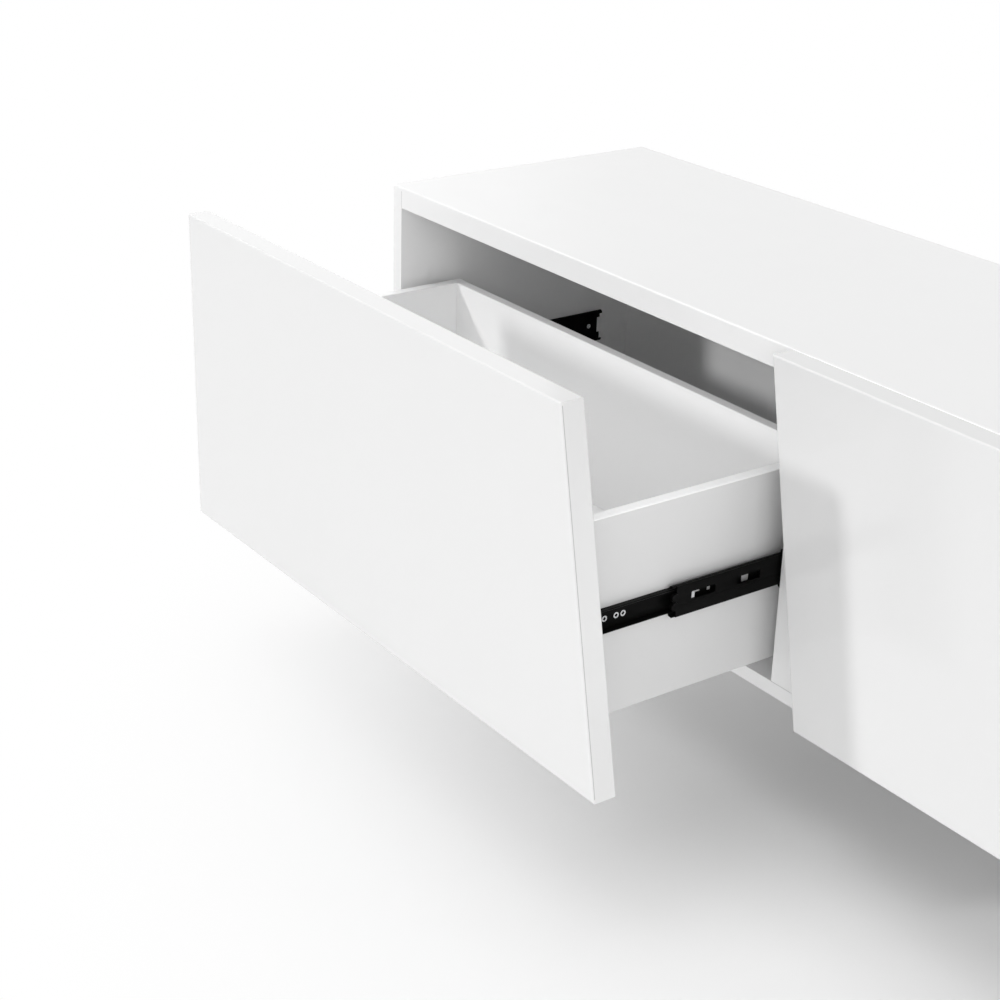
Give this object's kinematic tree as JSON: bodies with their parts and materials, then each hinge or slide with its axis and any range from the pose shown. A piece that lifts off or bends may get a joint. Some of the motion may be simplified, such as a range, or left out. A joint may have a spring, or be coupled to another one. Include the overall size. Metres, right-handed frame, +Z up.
{
  "type": "tv stand with doors",
  "caption": "Long low television stand in white lacquer: handle-less drawers on telescopic ball slides, one pulled out, a drop-down flap door and slanted seams between the fronts.",
  "frame": {"origin": "underside of the centre leg's glide, on the floor, midway across the width and the depth of the carcass", "axes": "+X along the width to the viewer's right, -Y out of the fronts, +Z up"},
  "size_m": [2, 0.64, 0.507],
  "materials": {
    "white_lacquer": "white satin-gloss lacquer on fibreboard",
    "white_board": "white coated thin board",
    "black_steel": "black coated rolled steel",
    "bright_steel": "bright zinc-plated steel",
    "brushed_leg": "brushed steel tube",
    "zinc_fitting": "nickel-plated steel sheet",
    "beech": "plain beech",
    "black_plastic": "black moulded plastic",
    "white_plastic": "white moulded plastic"
  },
  "bodies": {
    "carcass": {"top_panel": "white_lacquer", "bottom_panel": "white_lacquer", "side_panel_left": "white_lacquer", "side_panel_right": "white_lacquer", "partition_left_bay": "white_lacquer", "partition_centre_left": "white_lacquer", "partition_centre_right": "white_lacquer", "partition_right_bay": "white_lacquer", "stile_left": "white_lacquer", "stile_right": "white_lacquer", "back_panel_left": "white_board", "back_panel_centre": "white_board", "back_panel_right": "white_board", "leg_front_left": "brushed_leg", "leg_front_right": "brushed_leg", "leg_rear_left": "brushed_leg", "leg_rear_right": "brushed_leg", "leg_centre": "brushed_leg", "leg_glides": "black_plastic", "carcass_dowels": "beech", "carcass_screws": "bright_steel", "cable_outlet_ring": "white_plastic", "left_outer_slides": "black_steel", "centre_outer_slides": "black_steel", "hinge_leaves_fixed": "zinc_fitting", "hinge_pins": "bright_steel", "stay_studs": "zinc_fitting", "latch_housings": "white_plastic"},
    "left_drawer": {"left_drawer_front": "white_lacquer", "left_drawer_box_front": "white_lacquer", "left_drawer_side_left": "white_lacquer", "left_drawer_side_right": "white_lacquer", "left_drawer_back": "white_lacquer", "left_drawer_bottom": "white_board", "left_drawer_fixings": "bright_steel", "left_inner_slides": "black_steel"},
    "left_middle_members": {"left_middle_slides": "black_steel", "left_slide_stops": "black_plastic"},
    "left_outer_ball_cages": {"left_outer_cages": "bright_steel"},
    "left_inner_ball_cages": {"left_inner_cages": "bright_steel"},
    "centre_drawer": {"centre_drawer_front": "white_lacquer", "centre_drawer_box_front": "white_lacquer", "centre_drawer_side_left": "white_lacquer", "centre_drawer_side_right": "white_lacquer", "centre_drawer_back": "white_lacquer", "centre_drawer_bottom": "white_board", "centre_drawer_fixings": "bright_steel", "centre_inner_slides": "black_steel"},
    "centre_middle_members": {"centre_middle_slides": "black_steel", "centre_slide_stops": "black_plastic"},
    "centre_outer_ball_cages": {"centre_outer_cages": "bright_steel"},
    "centre_inner_ball_cages": {"centre_inner_cages": "bright_steel"},
    "door": {"flap_door": "white_lacquer", "hinge_leaves_moving": "zinc_fitting", "stay_brackets": "zinc_fitting"},
    "door_stay_left": {"stay_arm_left": "zinc_fitting"},
    "door_stay_right": {"stay_arm_right": "zinc_fitting"},
    "latch_push_left": {"latch_plunger_left": "black_plastic"},
    "latch_push_centre": {"latch_plunger_centre": "black_plastic"},
    "latch_push_right": {"latch_plunger_right": "black_plastic"}
  },
  "joints": [
    {"name": "left_drawer_slide", "type": "slide", "parent": "carcass", "child": "left_drawer", "axis": [0, 1, 0], "range_m": [-0.063, 0.237]},
    {"name": "left_middle_members_slide", "type": "slide", "parent": "carcass", "child": "left_middle_members", "axis": [0, 1, 0], "range_m": [-0.03601, 0.13519]},
    {"name": "left_outer_cages_roll", "type": "slide", "parent": "carcass", "child": "left_outer_ball_cages", "axis": [0, 1, 0], "range_m": [-0.01805, 0.06764]},
    {"name": "left_inner_cages_roll", "type": "slide", "parent": "carcass", "child": "left_inner_ball_cages", "axis": [0, 1, 0], "range_m": [-0.04955, 0.18614]},
    {"name": "centre_drawer_slide", "type": "slide", "parent": "carcass", "child": "centre_drawer", "axis": [0, 1, 0], "range_m": [-0.3, 0]},
    {"name": "centre_middle_members_slide", "type": "slide", "parent": "carcass", "child": "centre_middle_members", "axis": [0, 1, 0], "range_m": [-0.1711, 0.0001]},
    {"name": "centre_outer_cages_roll", "type": "slide", "parent": "carcass", "child": "centre_outer_ball_cages", "axis": [0, 1, 0], "range_m": [-0.0856, 0.0001]},
    {"name": "centre_inner_cages_roll", "type": "slide", "parent": "carcass", "child": "centre_inner_ball_cages", "axis": [0, 1, 0], "range_m": [-0.2356, 0.0001]},
    {"name": "door_hinge", "type": "hinge", "parent": "carcass", "child": "door", "pos_m": [0.6475, -0.1885, 0.1467], "axis": [1, 0, 0], "range_deg": [0, 90]},
    {"name": "door_stay_left_pivot", "type": "hinge", "parent": "door", "child": "door_stay_left", "pos_m": [0.317, -0.1805, 0.29649], "axis": [-1, 0, 0], "range_deg": [0, 45.1]},
    {"name": "door_stay_right_pivot", "type": "hinge", "parent": "door", "child": "door_stay_right", "pos_m": [0.978, -0.1805, 0.29649], "axis": [-1, 0, 0], "range_deg": [0, 45.1]},
    {"name": "latch_left_push", "type": "slide", "parent": "carcass", "child": "latch_push_left", "axis": [0, 1, 0], "range_m": [-0.0034, 0.0121]},
    {"name": "latch_centre_push", "type": "slide", "parent": "carcass", "child": "latch_push_centre", "axis": [0, 1, 0], "range_m": [-0.0121, 0.0001]},
    {"name": "latch_right_push", "type": "slide", "parent": "carcass", "child": "latch_push_right", "axis": [0, -1, 0], "range_m": [0, 0.0121]}
  ],
  "couplings": [
    {"joint": "left_middle_members_slide", "follows": "left_drawer_slide", "ratio": 0.57},
    {"joint": "left_outer_cages_roll", "follows": "left_drawer_slide", "ratio": 0.285},
    {"joint": "left_inner_cages_roll", "follows": "left_drawer_slide", "ratio": 0.785},
    {"joint": "centre_middle_members_slide", "follows": "centre_drawer_slide", "ratio": 0.57},
    {"joint": "centre_outer_cages_roll", "follows": "centre_drawer_slide", "ratio": 0.285},
    {"joint": "centre_inner_cages_roll", "follows": "centre_drawer_slide", "ratio": 0.785},
    {"joint": "door_stay_left_pivot", "follows": "door_hinge", "ratio": 0.5},
    {"joint": "door_stay_right_pivot", "follows": "door_hinge", "ratio": 0.5},
    {"joint": "latch_left_push", "follows": "left_drawer_slide", "ratio": 0.05063},
    {"joint": "latch_centre_push", "follows": "centre_drawer_slide", "ratio": 0.04},
    {"joint": "latch_right_push", "follows": "door_hinge", "m_per_rad": 0.0076}
  ]
}
